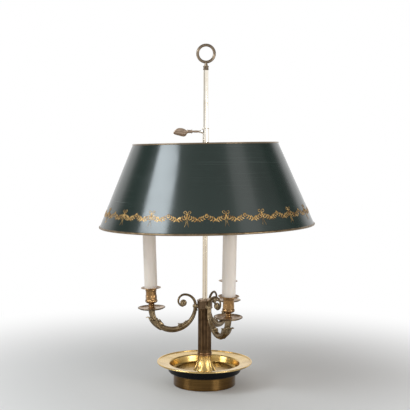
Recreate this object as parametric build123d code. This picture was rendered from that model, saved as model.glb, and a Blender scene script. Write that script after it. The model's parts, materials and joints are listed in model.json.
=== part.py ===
"""Bouillotte lamp: a brass drip dish on a weighted foot carries a fluted column, three scrolled arms
with electric candles, and a polished rod on which a lacquered metal shade slides, clamped by a key.

Millimetres, +Z up.  The origin is the centre of the felt face that the lamp stands on, on the
axis of the column.  -Y is the front, and the key of the shade points to -X.
"""
import os
from math import asin, cos, degrees, radians, sin

from build123d import *

# ---------------------------------------------------------------- clearances
thread_gap = 0.05        # radial, between a thread's two halves
hole_gap = 0.25          # radial, round a bolt or pipe that passes through
slide_gap = 0.08         # radial, between the shade rod and the carrier
turn_gap = 0.35          # between faces that turn past each other
liner_gap = 0.3          # radial, between a weight or liner and the wall round it
seat_gap = 0.1           # between the shade sheet and the spider soldered into it

# ---------------------------------------------------------------- foot and dish
felt_thickness = 1.5
cover_thickness = 1.5
foot_radius = 57.5
foot_wall = 1.5
foot_height = 23.5
foot_lift = 0.6          # the brass ring stays this far above the felt face
under_bowl_wall = 1.2
under_bowl_gap = 2.3     # between the well of the dish and the bowl round it
under_bowl_tuck = 0.1    # of the bowl's edge above the underside of the dish at the well's mouth
under_bowl_bend = 4.0
dish_wall = 1.5
dish_radius = 88.4
dish_rim_rise = 3.8      # of the rim above the well's mouth
dish_rim_bead = 1.5      # radius of the rolled edge
dish_bend = 3.0
well_mouth_radius = 65.0
well_floor_radius = 61.5
well_depth = 13.8
nut_recess_radius = 15.0
nut_recess_depth = 9.5
bush_bore_radius = 3.3   # for a round flex of 6 mm
bush_bore_length = 10.0
bush_wall = 1.4
bush_flange_radius = 6.6
bush_flange_thickness = 2.0
bush_height = 8.5        # of its axis above the felt face

# ---------------------------------------------------------------- tie rod
tie_rod_radius = 5.0     # M10 x 1 lamp pipe
tie_rod_bore = 3.4
tie_rod_tail = 1.2       # length that shows below the nut
tie_rod_window = 8.0     # height of the opening where the flex comes out, above the terminals
washer_radius = 10.5
washer_thickness = 1.6
nut_across_flats = 14.0
nut_height = 5.0
terminal_height = 12.0

# ---------------------------------------------------------------- column
flare_foot_radius = 20.6
flare_top_radius = 12.6
flare_height = 28.0
flare_wall = 2.4
flare_sag = 2.0          # hollowness of its side
gadroon_count = 12
gadroon_radius = 2.4     # of the hollows round the flare
gadroon_depth = 0.9
collar_height = 5.5
collar_radius = 13.2
collar_bead = 1.1
column_radius = 12.4
column_bore = 9.0
column_height = 82.5
flute_count = 12
flute_radius = 2.5
flute_depth = 1.1
flute_margin = 3.5       # plain length at each end of the shaft
capital_height = 17.0
capital_radius = 14.0
capital_web = 0.8        # metal between the tie rod's thread and the rod's
capital_bead = 1.1
capital_plate_radius = 11.0
capital_plate_height = 1.6
capital_flat_depth = 0.7     # of the flats that the arms stand against

# ---------------------------------------------------------------- arms
front_arm_angle = 65.3   # of the front arm, from +X towards the front
back_arm_angle = 63.1    # of the back arm, from +X towards the back
front_volute_turn = 17.0     # degrees by which use has bent the front arm's volute to the right
candle_lean = 2.0        # degrees outward, of each candle and of what carries it
arm_inner_bend = 44.0    # radii of the arm's two quarter turns, beside the column and below the candle
arm_outer_bend = 37.0
arm_neck = 3.4           # straight length between the outer turn and the drip pan
arm_root_tube = 3.1      # tube radii along the arm
arm_belly_tube = 4.7
arm_tip_tube = 4.3
arm_bore = 1.9
arm_standoff = 1.1       # between the capital's flats and the arm's tube
boss_rise = 3.8          # of the arm's fixing boss above the capital's foot
boss_radius = 4.6
boss_cover = 2.1         # length of the boss beyond the arm's centreline
knob_radius = 3.2
stud_radius = 3.2        # hollow stud between arm and capital
stud_depth = 1.9         # of its thread in the arm
volute_rise = 2.0        # of the volute's start above the boss
volute_straight = 2.5    # straight length between the arm's inner turn and the volute
volute_radii = (19.3, 12.3, 9.5)     # of its three quarter turns, from the column outward
volute_tubes = (2.6, 2.0, 1.6, 1.4)  # tube radius at each end of the quarter turns
button_radius = 6.2
button_thickness = 5.0
leaf_cup_length = 15.0
leaf_cup_top = 5.9       # radii of the leaf cup under each drip pan
leaf_cup_foot = 4.9
barb_length = 4.6
barb_radius = 2.0
barb_tip = 0.6

# ---------------------------------------------------------------- electric candles
pan_radius = 25.5
pan_hub_radius = 7.5
pan_wall = 1.2
pan_dip = 0.9            # how far the dish of the pan lies below its hub
pan_rise = 2.6           # of its edge above the dip
pan_bead = 0.9
pan_bend = 2.0
cup_neck_radius = 5.4
cup_neck_height = 7.8
cup_radius = 10.4
cup_height = 37.5
cup_wall = 1.4
cup_bend = 4.5
cup_seat_margin = 1.0    # flat of the rim beyond the candle cover that stands on it
cup_rim_radius = 18.5
cup_rim_rise = 1.4
cup_bead = 0.7
nipple_radius = 4.0
nipple_bore = 2.2
nipple_thread = 8.0      # length of its thread in the arm
nipple_grip = 6.0        # length of its thread in the lampholder
sleeve_radius = 12.0     # standard 24 mm candle cover
sleeve_wall = 1.0
sleeve_length = 120.0
sleeve_edge = 0.4
holder_gap = 0.8         # radial, between the E14 holder and the candle cover
holder_length = 60.0
holder_drop = 2.0        # its mouth below the sleeve's
cap_radius = 6.9         # E14 lamp cap
cap_length = 24.0
cap_contact_radius = 2.6
cap_contact_height = 1.5
cap_insulator_height = 2.5
bulb_radius = 17.5       # candle lamp, 35 mm
bulb_length = 79.0
bulb_neck_inset = 0.3    # of the glass inside the cap's edge
bulb_belly = 30.0        # height of the widest place
bulb_wall = 0.9
lead_radius = 1.2
lead_bend = 2.2

# ---------------------------------------------------------------- rod and finial
rod_radius = 4.7
rod_length = 420.8
rod_thread = 4.0         # length of the tie rod's thread in the capital
spigot_radius = 3.0
spigot_length = 4.5
finial_stud_radius = 2.0
finial_stud_length = 10.0
finial_collar_radius = 4.6
finial_collar_height = 8.0
finial_ridge = 0.9
finial_neck_radius = 3.4
finial_neck_height = 5.0
finial_neck_top = 2.3
ring_radius = 15.35      # of the ring's centreline
ring_tube = 2.65
ring_sink = 1.0          # of the neck in the ring

# ---------------------------------------------------------------- carrier and key
carrier_bottom = 426.0   # height above the felt face, at rest
carrier_radius = 5.9
carrier_length = 48.6
carrier_bead = 0.7
shoulder_radius = 10.5
shoulder_height = 4.5
shade_nut_radius = 9.5
shade_nut_height = 4.5
key_drop = 6.2           # of the key's axis below the carrier's upper end
key_boss_end = 11.4      # distance of the boss's end from the axis
key_boss_radius = 3.9
key_waist_radius = 2.9
key_shank_radius = 1.8
key_tip_gap = 0.2        # between the key's tip and the rod
key_block_start = 24.6   # distances from the axis along the key
key_block_end = 34.0
key_reach = 59.4
key_block_radius = 3.0
key_bead = 0.9
leaf_half_width = 7.8
leaf_drop = 1.4          # of the leaf's middle below the key's axis
leaf_thickness = 2.6
leaf_bevel = 0.7

# ---------------------------------------------------------------- shade
hang_tilt = 1.3          # degrees by which the shade leans on its seat
shade_top_radius = 133.0     # outer radii of the sheet at its edges
shade_bottom_radius = 196.4
shade_height = 148.4
shade_wall = 0.8
shade_drop = 134.6       # from the spider's mid-plane down to the sheet's lower edge
top_bead = 1.5
bottom_bead = 1.9
spider_thickness = 3.0
spider_hub_radius = 10.5
spider_arm_width = 6.0
spider_arms = 3
spider_turn = 30.0       # azimuth of its first arm
spider_rim_width = 2.4

# ---------------------------------------------------------------- places that follow
cover_top = felt_thickness + cover_thickness
recess_top = cover_top + nut_recess_depth
nut_foot = recess_top - washer_thickness - nut_height
bowl_floor_top = foot_height + under_bowl_wall
well_floor_top = bowl_floor_top + dish_wall
well_mouth_height = well_floor_top + well_depth
dish_rim_height = well_mouth_height + dish_rim_rise
under_bowl_offset = dish_wall + under_bowl_gap + under_bowl_wall
under_bowl_shoulder = well_floor_radius + under_bowl_offset
under_bowl_radius = well_mouth_radius + under_bowl_offset
under_bowl_top = well_mouth_height - dish_wall + under_bowl_tuck
terminal_top = well_floor_top + terminal_height
terminal_radius = flare_top_radius - flare_wall - hole_gap
flare_top = well_floor_top + flare_height
column_foot = flare_top + collar_height
capital_foot = column_foot + column_height
capital_top = capital_foot + capital_height
tie_rod_top = capital_top - spigot_length - capital_web
cavity_top = tie_rod_top - rod_thread
rod_top = capital_top + rod_length
collar_top = rod_top + finial_collar_height
neck_top = collar_top + finial_neck_height
ring_height = neck_top - ring_sink + ring_radius + ring_tube
arm_azimuths = {"left": 180.0, "front": -front_arm_angle, "back": back_arm_angle}
volute_turns = {"left": 0.0, "front": front_volute_turn, "back": 0.0}
boss_pad = capital_radius - capital_flat_depth
boss_height = capital_foot + boss_rise
arm_root = boss_pad + arm_standoff + arm_root_tube
boss_end = arm_root + boss_cover
volute_base = boss_height + volute_rise
lean_cos, lean_sin = cos(radians(candle_lean)), sin(radians(candle_lean))
arm_low = volute_base - volute_straight - arm_inner_bend
inner_centre = (arm_root + arm_inner_bend, arm_low + arm_inner_bend)
outer_centre = (inner_centre[0], arm_low + arm_outer_bend)
outer_end = (outer_centre[0] + arm_outer_bend * lean_cos, outer_centre[1] - arm_outer_bend * lean_sin)
tip_place = (outer_end[0] + arm_neck * lean_sin, outer_end[1] + arm_neck * lean_cos)
sleeve_foot = pan_wall + cup_height
cup_seat_radius = sleeve_radius + cup_seat_margin
holder_radius = sleeve_radius - sleeve_wall - holder_gap
holder_top = sleeve_foot + sleeve_length - holder_drop
holder_foot = holder_top - holder_length
cap_foot = sleeve_foot + sleeve_length - cap_length
bulb_neck_radius = cap_radius - bulb_neck_inset
lead_drop_radius = (tie_rod_radius + column_bore) / 2
key_height = carrier_bottom + carrier_length - key_drop
shoulder_top = carrier_bottom + shoulder_height
hub_middle = shoulder_top + turn_gap + spider_thickness / 2
shade_nut_foot = hub_middle + spider_thickness / 2 + turn_gap
bush_radius = bush_bore_radius + bush_wall


# ---------------------------------------------------------------- helpers
def turned(outline):
    """Solid of revolution about Z from a face drawn as (radius, height)."""
    return revolve(Plane.XZ * outline, Axis.Z, 360)


def turned_polygon(*points):
    """Solid of revolution from straight-sided profile points (radius, height)."""
    return turned(make_face(Polyline(*points, close=True)))


def spun_sheet(points, radii, thickness, side):
    """Spun sheet metal: one face follows the filleted points, the metal lies on the named side."""
    skin = FilletPolyline(*points, radius=radii)
    return turned(make_face(offset(skin, thickness, side=side)))


def tube(outer, inner, bottom, top):
    """Round tube or washer on the Z axis."""
    return Pos(0, 0, bottom) * extrude(Circle(outer) - Circle(inner), top - bottom)


def bar(radius, bottom, top):
    """Round bar on the Z axis."""
    return Pos(0, 0, bottom) * extrude(Circle(radius), top - bottom)


def radial_bar(radius, start, end, height):
    """Round bar along +X between two distances from the axis."""
    return Pos(start, 0, height) * Rot(0, 90, 0) * extrude(Circle(radius), end - start)


def ring_bead(radius, tube_radius, height):
    """Horizontal bead round the Z axis."""
    return Pos(0, 0, height) * Torus(radius, tube_radius)


def tapered_arc(centre, radius, start_angle, end_angle, start_tube, end_tube):
    """Tapering round bar along an arc in the XZ plane; angles in degrees from +X."""
    path = Plane.XZ * CenterArc(centre, radius, start_angle, end_angle - start_angle)
    first = Plane(origin=path @ 0, z_dir=path % 0) * Circle(start_tube)
    last = Plane(origin=path @ 1, z_dir=path % 1) * Circle(end_tube)
    return sweep([first, last], path=path, multisection=True)


def swept_bar(path, radius):
    """Round bar of one radius along a path."""
    return sweep(Plane(origin=path @ 0, z_dir=path % 0) * Circle(radius), path=path)


def turned_to(part, azimuth):
    """The part turned about the lamp's axis."""
    return Rot(0, 0, azimuth) * part


def at_candle(part):
    """A part drawn on the Z axis, moved to the outer end of an arm that points to +X."""
    return Pos(tip_place[0], 0, tip_place[1]) * Rot(0, candle_lean, 0) * part


def at_hub(part):
    """A part of the shade, drawn about the spider's middle, in its leaning place."""
    return Pos(0, 0, hub_middle) * Rot(0, -hang_tilt, 0) * part


# ---------------------------------------------------------------- foot
def felt_pad():
    return bar(foot_radius - foot_wall - liner_gap, 0, felt_thickness)


def bottom_cover():
    return bar(foot_radius - foot_wall - liner_gap, felt_thickness, cover_top)


def bush_axis(part):
    """A part drawn on the Z axis, moved to the cord bush with +Z pointing out at the back."""
    return Pos(0, foot_radius, bush_height) * Rot(-90, 0, 0) * part


def ballast_weight():
    """Cast weight with a recess for the nut and a channel from the cord bush to it."""
    weight = bar(foot_radius - foot_wall - liner_gap, cover_top, foot_height)
    weight -= bar(nut_recess_radius, cover_top, recess_top)
    weight -= bar(tie_rod_radius + hole_gap, recess_top, foot_height)
    channel_half = bush_radius + hole_gap
    channel_top = bush_height + channel_half
    channel = Box(2 * channel_half, foot_radius, channel_top - cover_top,
                  align=(Align.CENTER, Align.MIN, Align.MIN))
    return weight - Pos(0, 0, cover_top) * channel


def foot_ring():
    ring = tube(foot_radius, foot_radius - foot_wall, foot_lift, foot_height)
    return ring - bush_axis(bar(bush_radius + thread_gap, -2 * bush_bore_length, bush_bore_length))


def cord_bush():
    """Flanged bush in the back of the foot, where the mains flex comes out."""
    body = bar(bush_radius, bush_flange_thickness - bush_bore_length, 0)
    flange = bar(bush_flange_radius, 0, bush_flange_thickness)
    bore = bar(bush_bore_radius, bush_flange_thickness - bush_bore_length, bush_flange_thickness)
    return bush_axis(body + flange - bore)


def under_bowl():
    """Black bowl between the foot and the dish."""
    outline = [(tie_rod_radius + hole_gap, foot_height), (under_bowl_shoulder, foot_height),
               (under_bowl_radius, under_bowl_top)]
    return spun_sheet(outline, [under_bowl_bend], under_bowl_wall, Side.LEFT)


def drip_dish():
    """Spun dish with a flat-bottomed well, a wide flange and a rolled rim."""
    bead_place = (dish_radius - dish_rim_bead, dish_rim_height - dish_rim_bead)
    outline = [(tie_rod_radius + hole_gap, well_floor_top), (well_floor_radius, well_floor_top),
               (well_mouth_radius, well_mouth_height), bead_place]
    dish = spun_sheet(outline, [dish_bend, dish_bend], dish_wall, Side.RIGHT)
    return dish + ring_bead(bead_place[0], dish_rim_bead, bead_place[1])


# ---------------------------------------------------------------- tie rod and column
def tie_rod():
    """Hollow threaded pipe that clamps the column, the dish and the foot together."""
    pipe = tube(tie_rod_radius, tie_rod_bore, nut_foot - tie_rod_tail, tie_rod_top)
    window = Pos(0, 0, terminal_top) * Box(2 * tie_rod_bore, 2 * tie_rod_radius, tie_rod_window,
                                           align=(Align.CENTER, Align.MIN, Align.MIN))
    return pipe - window


def tie_washer():
    return tube(washer_radius, tie_rod_radius + hole_gap, recess_top - washer_thickness, recess_top)


def tie_nut():
    hexagon = RegularPolygon(nut_across_flats / 2, 6, major_radius=False)
    return Pos(0, 0, nut_foot) * extrude(hexagon - Circle(tie_rod_radius + thread_gap), nut_height)


def terminal_block():
    """Porcelain ring round the tie rod, on the floor of the dish, that joins the leads."""
    return tube(terminal_radius, tie_rod_radius + hole_gap, well_floor_top, terminal_top)


def flare_side(shift):
    """Hollow side line of the flare, moved outward by shift."""
    foot = (flare_foot_radius + shift, well_floor_top)
    top = (flare_top_radius + shift, flare_top)
    middle = ((foot[0] + top[0]) / 2 - flare_sag, (foot[1] + top[1]) / 2)
    return ThreePointArc(foot, middle, top)


def column_flare():
    """Polished trumpet at the column's foot, hollow, with gadroons round it."""
    outer, inner = flare_side(0), flare_side(-flare_wall)
    top = Line(outer @ 1, inner @ 1)
    floor = Line(inner @ 0, outer @ 0)
    flare = turned(make_face([outer, top, inner, floor]))
    side = flare_side(gadroon_radius - gadroon_depth)
    top_end = Line(side @ 1, side @ 1 + (side % 1) * gadroon_radius)
    foot_end = Line(side @ 0 - (side % 0) * gadroon_radius, side @ 0)
    groove = swept_bar(Plane.XZ * Wire([*foot_end.edges(), *side.edges(), *top_end.edges()]),
                       gadroon_radius)
    for index in range(gadroon_count):
        flare -= turned_to(groove, 360 * (index + 0.5) / gadroon_count)
    return flare


def column_collar():
    collar = tube(collar_radius, column_bore, flare_top, column_foot)
    for height in (flare_top + collar_bead, column_foot - collar_bead):
        collar += ring_bead(collar_radius - collar_bead / 2, collar_bead, height)
    return collar


def fluted_column():
    """Hollow shaft with round-ended flutes."""
    shaft = tube(column_radius, column_bore, column_foot, capital_foot)
    distance = column_radius + flute_radius - flute_depth
    low, high = column_foot + flute_margin + flute_radius, capital_foot - flute_margin - flute_radius
    flute = bar(flute_radius, low, high)
    flute += Pos(0, 0, low) * Sphere(flute_radius) + Pos(0, 0, high) * Sphere(flute_radius)
    for index in range(flute_count):
        shaft -= turned_to(Pos(distance, 0, 0) * flute, 360 * (index + 0.5) / flute_count)
    return shaft


def column_capital():
    """Head of the column, with a flat for each arm, a cavity for the leads and two threaded bores."""
    plate_foot = capital_top - capital_plate_height
    capital = bar(capital_radius, capital_foot, plate_foot)
    capital += bar(capital_plate_radius, plate_foot, capital_top)
    for height in (capital_foot + capital_bead, plate_foot - capital_bead):
        capital += ring_bead(capital_radius - capital_bead / 2, capital_bead, height)
    capital -= bar(column_bore, capital_foot, cavity_top)
    capital -= bar(tie_rod_radius + thread_gap, cavity_top, tie_rod_top)
    capital -= bar(spigot_radius + thread_gap, capital_top - spigot_length, capital_top)
    pocket_half = boss_radius + turn_gap
    pocket = Pos(boss_pad, 0, capital_foot) * Box(
        capital_radius, 2 * pocket_half, boss_height + pocket_half - capital_foot,
        align=(Align.MIN, Align.CENTER, Align.MIN))
    stud_hole = radial_bar(stud_radius + thread_gap, 0, boss_end, boss_height)
    for azimuth in arm_azimuths.values():
        capital -= turned_to(pocket + stud_hole, azimuth)
    return capital


# ---------------------------------------------------------------- arms and leads
def lead_path():
    """Route of one lead for an arm that points to +X: down the candle, round the arm, into the
    capital and down the column to the terminal block."""
    lead_top = holder_foot + nipple_grip
    start = (tip_place[0] + lead_top * lean_sin, tip_place[1] + lead_top * lean_cos)
    drop = Line(start, outer_end)
    outer_turn = CenterArc(outer_centre, arm_outer_bend, -candle_lean, candle_lean - 90)
    leave = degrees(asin((inner_centre[1] + lead_bend - boss_height) / (arm_inner_bend + lead_bend)))
    inner_turn = CenterArc(inner_centre, arm_inner_bend, -90, leave - 90)
    turn_in = JernArc(inner_turn @ 1, inner_turn % 1, lead_bend, 90 - leave)
    run = Line(turn_in @ 1, (lead_drop_radius + lead_bend, boss_height))
    turn_down = JernArc(run @ 1, (-1, 0), lead_bend, 90)
    fall = Line(turn_down @ 1, (lead_drop_radius, terminal_top))
    pieces = [drop, outer_turn, inner_turn, turn_in, run, turn_down, fall]
    return Plane.XZ * Wire([edge for piece in pieces for edge in piece.edges()])


def volute():
    """Scroll above the arm: three tapering quarter turns that end in a button."""
    first, second, third = volute_radii
    tubes = volute_tubes
    crown = (arm_root + first, volute_base)
    outer = (crown[0], crown[1] + first - second)
    inner = (outer[0] + second - third, outer[1])
    scroll = tapered_arc(crown, first, 180, 90, tubes[0], tubes[1])
    scroll += tapered_arc(outer, second, 90, 0, tubes[1], tubes[2])
    scroll += tapered_arc(inner, third, 0, -90, tubes[2], tubes[3])
    button = extrude(Circle(button_radius), button_thickness / 2, both=True)
    return scroll + Pos(inner[0], 0, inner[1] - third + button_radius) * Rot(90, 0, 0) * button


def barb(angle):
    """Leaf tip that stands off the outer end of the arm, square to it at an angle of its arc."""
    path = Plane.XZ * CenterArc(outer_centre, arm_outer_bend, angle, 1)
    outward = (path @ 0 - Vector(outer_centre[0], 0, outer_centre[1])).normalized()
    return path @ 0, outward


def leaf_barbs():
    """Two leaf tips that stand off the arm below the leaf cup, one outside and one inside."""
    outside, outward = barb(-26)
    inside, inward = barb(-34)
    height = arm_tip_tube + barb_length
    cone = Cone(barb_radius, barb_tip, height, align=(Align.CENTER, Align.CENTER, Align.MIN))
    return Plane(origin=outside, z_dir=outward) * cone + Plane(origin=inside, z_dir=-inward) * cone


def arm(volute_turn):
    """Scrolled arm that points to +X, bored for its lead from the boss to the candle's nipple.
    Its volute is turned about the arm's upright root."""
    body = tapered_arc(inner_centre, arm_inner_bend, -180, -90, arm_root_tube, arm_belly_tube)
    body += tapered_arc(outer_centre, arm_outer_bend, -90, -candle_lean, arm_belly_tube, arm_tip_tube)
    riser = Cone(arm_root_tube, volute_tubes[0], volute_straight,
                 align=(Align.CENTER, Align.CENTER, Align.MIN))
    body += Pos(arm_root, 0, inner_centre[1]) * riser
    body += Pos(arm_root, 0, 0) * Rot(0, 0, volute_turn) * Pos(-arm_root, 0, 0) * volute()
    body += radial_bar(boss_radius, boss_pad, boss_end, boss_height)
    body += Pos(boss_end, 0, boss_height) * Sphere(knob_radius)
    body += at_candle(turned_polygon((0, -leaf_cup_length), (leaf_cup_foot, -leaf_cup_length),
                                     (leaf_cup_top, 0), (0, 0)))
    body += leaf_barbs()
    body -= at_candle(bar(nipple_radius + thread_gap, -nipple_thread, leaf_cup_top))
    body -= radial_bar(stud_radius + thread_gap, 0, boss_pad + stud_depth, boss_height)
    return body - swept_bar(lead_path(), arm_bore)


def arm_stud():
    """Hollow threaded stud that fixes an arm to the capital."""
    stud = radial_bar(stud_radius, column_bore + hole_gap, boss_pad + stud_depth, boss_height)
    return stud - radial_bar(arm_bore, 0, boss_end, boss_height)


def lamp_lead():
    return swept_bar(lead_path(), lead_radius)


# ---------------------------------------------------------------- electric candle, on the Z axis
def drip_pan():
    """Thin dished pan with a beaded edge, its hub on the arm's end."""
    bead_place = (pan_radius - pan_bead, pan_rise - pan_dip)
    outline = [(nipple_radius + hole_gap, 0), (pan_hub_radius, 0),
               (pan_hub_radius + pan_bend, -pan_dip), (pan_radius - 2 * pan_bend, -pan_dip / 2),
               bead_place]
    pan = spun_sheet(outline, pan_bend, pan_wall, Side.LEFT)
    return pan + ring_bead(bead_place[0], pan_bead, bead_place[1] + pan_wall / 2)


def candle_cup():
    """Turned cup on a neck, with a wide rim that the candle cover stands on."""
    floor = pan_wall + cup_neck_height
    seat = sleeve_foot - cup_wall
    outline = [(nipple_radius + hole_gap, floor), (cup_radius, floor), (cup_radius, seat),
               (cup_seat_radius, seat), (cup_rim_radius, seat + cup_rim_rise)]
    cup = spun_sheet(outline, [cup_bend, cup_wall / 2, cup_wall], cup_wall, Side.LEFT)
    cup += tube(cup_neck_radius, nipple_radius + hole_gap, pan_wall, floor)
    cup += ring_bead(cup_neck_radius, cup_bead, pan_wall + cup_bead)
    cup += ring_bead(cup_neck_radius, cup_bead, floor - cup_bead)
    cup += ring_bead(cup_radius, cup_bead, seat - 3 * cup_bead)
    cup += ring_bead(cup_radius, cup_bead, floor + cup_bend + cup_bead)
    return cup


def holder_nipple():
    return tube(nipple_radius, nipple_bore, -nipple_thread, holder_foot + nipple_grip)


def lampholder():
    """E14 holder inside the candle cover, screwed on the nipple."""
    holder = bar(holder_radius, holder_foot, holder_top)
    holder -= bar(cap_radius + hole_gap, cap_foot, holder_top)
    return holder - bar(nipple_radius + thread_gap, holder_foot, holder_foot + nipple_grip)


def candle_sleeve():
    """White candle cover."""
    cover = tube(sleeve_radius, sleeve_radius - sleeve_wall, sleeve_foot, sleeve_foot + sleeve_length)
    top_edge = cover.edges().group_by(Axis.Z)[-1].sort_by(SortBy.RADIUS)[-1]
    return fillet(top_edge, sleeve_edge)


def bulb_cap():
    """E14 screw cap with its centre contact."""
    insulator_top = cap_foot + cap_contact_height + cap_insulator_height
    return turned_polygon((0, cap_foot), (cap_contact_radius, cap_foot),
                          (cap_contact_radius, cap_foot + cap_contact_height),
                          (cap_radius, insulator_top), (cap_radius, cap_foot + cap_length),
                          (0, cap_foot + cap_length))


def bulb_volume(shrink):
    """Candle-shaped volume on the Z axis, smaller all round by shrink, open at its foot."""
    foot, tip = (bulb_neck_radius - shrink, 0), (0, bulb_length - shrink)
    side = Spline(foot, (bulb_radius - shrink, bulb_belly), tip,
                  tangents=[(0.2, 1), (0, 1), (-1, 0.9)])
    return turned(make_face([side, Line(tip, (0, 0)), Line((0, 0), foot)]))


def bulb_glass():
    return Pos(0, 0, cap_foot + cap_length) * (bulb_volume(0) - bulb_volume(bulb_wall))


# ---------------------------------------------------------------- rod and finial
def shade_rod():
    """Polished rod that the shade slides on, screwed into the capital."""
    post = bar(rod_radius, capital_top, rod_top) + bar(spigot_radius, capital_top - spigot_length,
                                                       capital_top)
    return post - bar(finial_stud_radius + thread_gap, rod_top - finial_stud_length, rod_top)


def finial_collar():
    """Turned collar with two ridges."""
    collar = tube(finial_collar_radius, finial_stud_radius + hole_gap, rod_top, collar_top)
    for height in (rod_top + 2 * finial_ridge, collar_top - 2 * finial_ridge):
        collar += ring_bead(finial_collar_radius, finial_ridge, height)
    return collar


def finial_ring():
    """Lifting ring that faces the front, on a tapered neck with a screw stud."""
    ring = Pos(0, 0, ring_height) * Rot(90, 0, 0) * Torus(ring_radius, ring_tube)
    ring += turned_polygon((0, collar_top), (finial_neck_radius, collar_top),
                           (finial_neck_top, neck_top), (0, neck_top))
    return ring + bar(finial_stud_radius, rod_top - finial_stud_length, collar_top)


# ---------------------------------------------------------------- carrier and key
def on_key_axis(part):
    """A part drawn with Z as the distance from the lamp's axis and X as up, moved to the key."""
    return Pos(0, 0, key_height) * Rot(0, -90, 0) * part


def carrier_sleeve():
    """Tube that slides on the rod, with the shade's shoulder and the threaded boss of the key."""
    carrier_top = carrier_bottom + carrier_length
    carrier = bar(carrier_radius, carrier_bottom, carrier_top)
    carrier += bar(shoulder_radius, carrier_bottom, shoulder_top)
    carrier += ring_bead(carrier_radius, carrier_bead, carrier_top - carrier_bead)
    waist = (carrier_radius + key_boss_end) / 2
    boss = turned_polygon((0, 0), (key_boss_radius, 0), (key_boss_radius, carrier_radius),
                          (key_waist_radius, waist), (key_boss_radius, key_boss_end),
                          (0, key_boss_end))
    carrier += on_key_axis(boss)
    carrier -= on_key_axis(bar(key_shank_radius + thread_gap, 0, key_boss_end))
    return carrier - bar(rod_radius + slide_gap, carrier_bottom, carrier_top)


def shade_nut():
    """Ring nut that keeps the spider's hub on the shoulder."""
    return tube(shade_nut_radius, carrier_radius + thread_gap, shade_nut_foot,
                shade_nut_foot + shade_nut_height)


def leaf_outline():
    """Flat leaf: X is up, Y is the distance from the lamp's axis; its point is the far end."""
    length = key_reach - key_block_end
    middle, half = -leaf_drop, leaf_half_width
    root = key_block_end - key_bead
    point = (0, key_reach)
    upper = [(middle + 0.96 * half, root + 0.5 * length), (middle + 0.8 * half, root + 0.22 * length)]
    lower = [(middle - 0.9 * half, root + 0.6 * length), (middle - 1.05 * half, root + 0.26 * length)]
    barb_tip_place = (middle - 1.0 * half, root + 0.08 * length)
    top_side = Spline(point, *upper, (key_shank_radius, root))
    low_side = Spline(point, *lower, barb_tip_place)
    notch = Line(barb_tip_place, (-key_shank_radius, root))
    return make_face([top_side, low_side, notch, Line((-key_shank_radius, root), (key_shank_radius, root))])


def shade_key():
    """Clamping key: threaded shank, ringed block and a flat leaf as its handle."""
    tip = rod_radius + key_tip_gap
    neck_start = key_boss_end + turn_gap
    shank = turned_polygon((0, tip), (key_shank_radius, tip), (key_shank_radius, neck_start),
                           (key_waist_radius, neck_start), (key_shank_radius, key_block_start),
                           (0, key_block_start))
    block = bar(key_block_radius, key_block_start, key_block_end)
    for distance in (key_block_start + key_bead, key_block_end - key_bead):
        block += ring_bead(key_block_radius, key_bead, distance)
    leaf = extrude(Plane.XZ * leaf_outline(), leaf_thickness / 2, both=True)
    leaf = chamfer(leaf.faces().sort_by(Axis.Y)[0].edges() + leaf.faces().sort_by(Axis.Y)[-1].edges(),
                   leaf_bevel)
    return on_key_axis(shank + block + leaf)


# ---------------------------------------------------------------- shade, about the spider's middle
def sheet_radius(height):
    """Outer radius of the shade's sheet at a height above the spider's middle."""
    share = (height + shade_drop) / shade_height
    return shade_bottom_radius + share * (shade_top_radius - shade_bottom_radius)


def shade_band(bottom, top, depth, width):
    """Conical band that lies depth inside the sheet's outer face."""
    low, high = sheet_radius(bottom) - depth, sheet_radius(top) - depth
    return turned_polygon((low, bottom), (high, top), (high - width, top), (low - width, bottom))


def shade_beads():
    """The two rolled edge wires: lower and upper."""
    low, high = -shade_drop, shade_height - shade_drop
    middle = shade_wall / 2
    return (ring_bead(sheet_radius(low) - middle, bottom_bead, low),
            ring_bead(sheet_radius(high) - middle, top_bead, high))


def shade_shell():
    """Conical sheet between the two edge wires."""
    shell = shade_band(-shade_drop, shade_height - shade_drop, 0, shade_wall)
    lower, upper = shade_beads()
    return at_hub(shell - lower - upper)


def shade_bottom_bead():
    return at_hub(shade_beads()[0])


def shade_top_bead():
    return at_hub(shade_beads()[1])


def shade_spider():
    """Hub, three flat arms and a rim soldered inside the sheet."""
    half = spider_thickness / 2
    rim = shade_band(-half, half, shade_wall + seat_gap, spider_rim_width)
    hub = tube(spider_hub_radius, carrier_radius + turn_gap, -half, half)
    reach = sheet_radius(half) - shade_wall - seat_gap - spider_rim_width / 2
    start = (carrier_radius + turn_gap + spider_hub_radius) / 2
    spoke = Pos(start, 0, 0) * Box(reach - start, spider_arm_width, spider_thickness,
                                   align=(Align.MIN, Align.CENTER, Align.CENTER))
    for index in range(spider_arms):
        hub += turned_to(spoke, spider_turn + 360 * index / spider_arms)
    return at_hub(hub + rim)


# ---------------------------------------------------------------- nodes
nodes = {
    "felt_pad": felt_pad(),
    "bottom_cover": bottom_cover(),
    "ballast_weight": ballast_weight(),
    "foot_ring": foot_ring(),
    "cord_bush": cord_bush(),
    "under_bowl": under_bowl(),
    "drip_dish": drip_dish(),
    "tie_rod": tie_rod(),
    "tie_washer": tie_washer(),
    "tie_nut": tie_nut(),
    "terminal_block": terminal_block(),
    "column_flare": column_flare(),
    "column_collar": column_collar(),
    "fluted_column": fluted_column(),
    "column_capital": column_capital(),
    "shade_rod": shade_rod(),
    "finial_collar": finial_collar(),
    "finial_ring": finial_ring(),
    "carrier_sleeve": carrier_sleeve(),
    "shade_nut": shade_nut(),
    "shade_key": shade_key(),
    "shade_spider": shade_spider(),
    "shade_shell": shade_shell(),
    "shade_top_bead": shade_top_bead(),
    "shade_bottom_bead": shade_bottom_bead(),
}
lead = lamp_lead()
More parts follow.
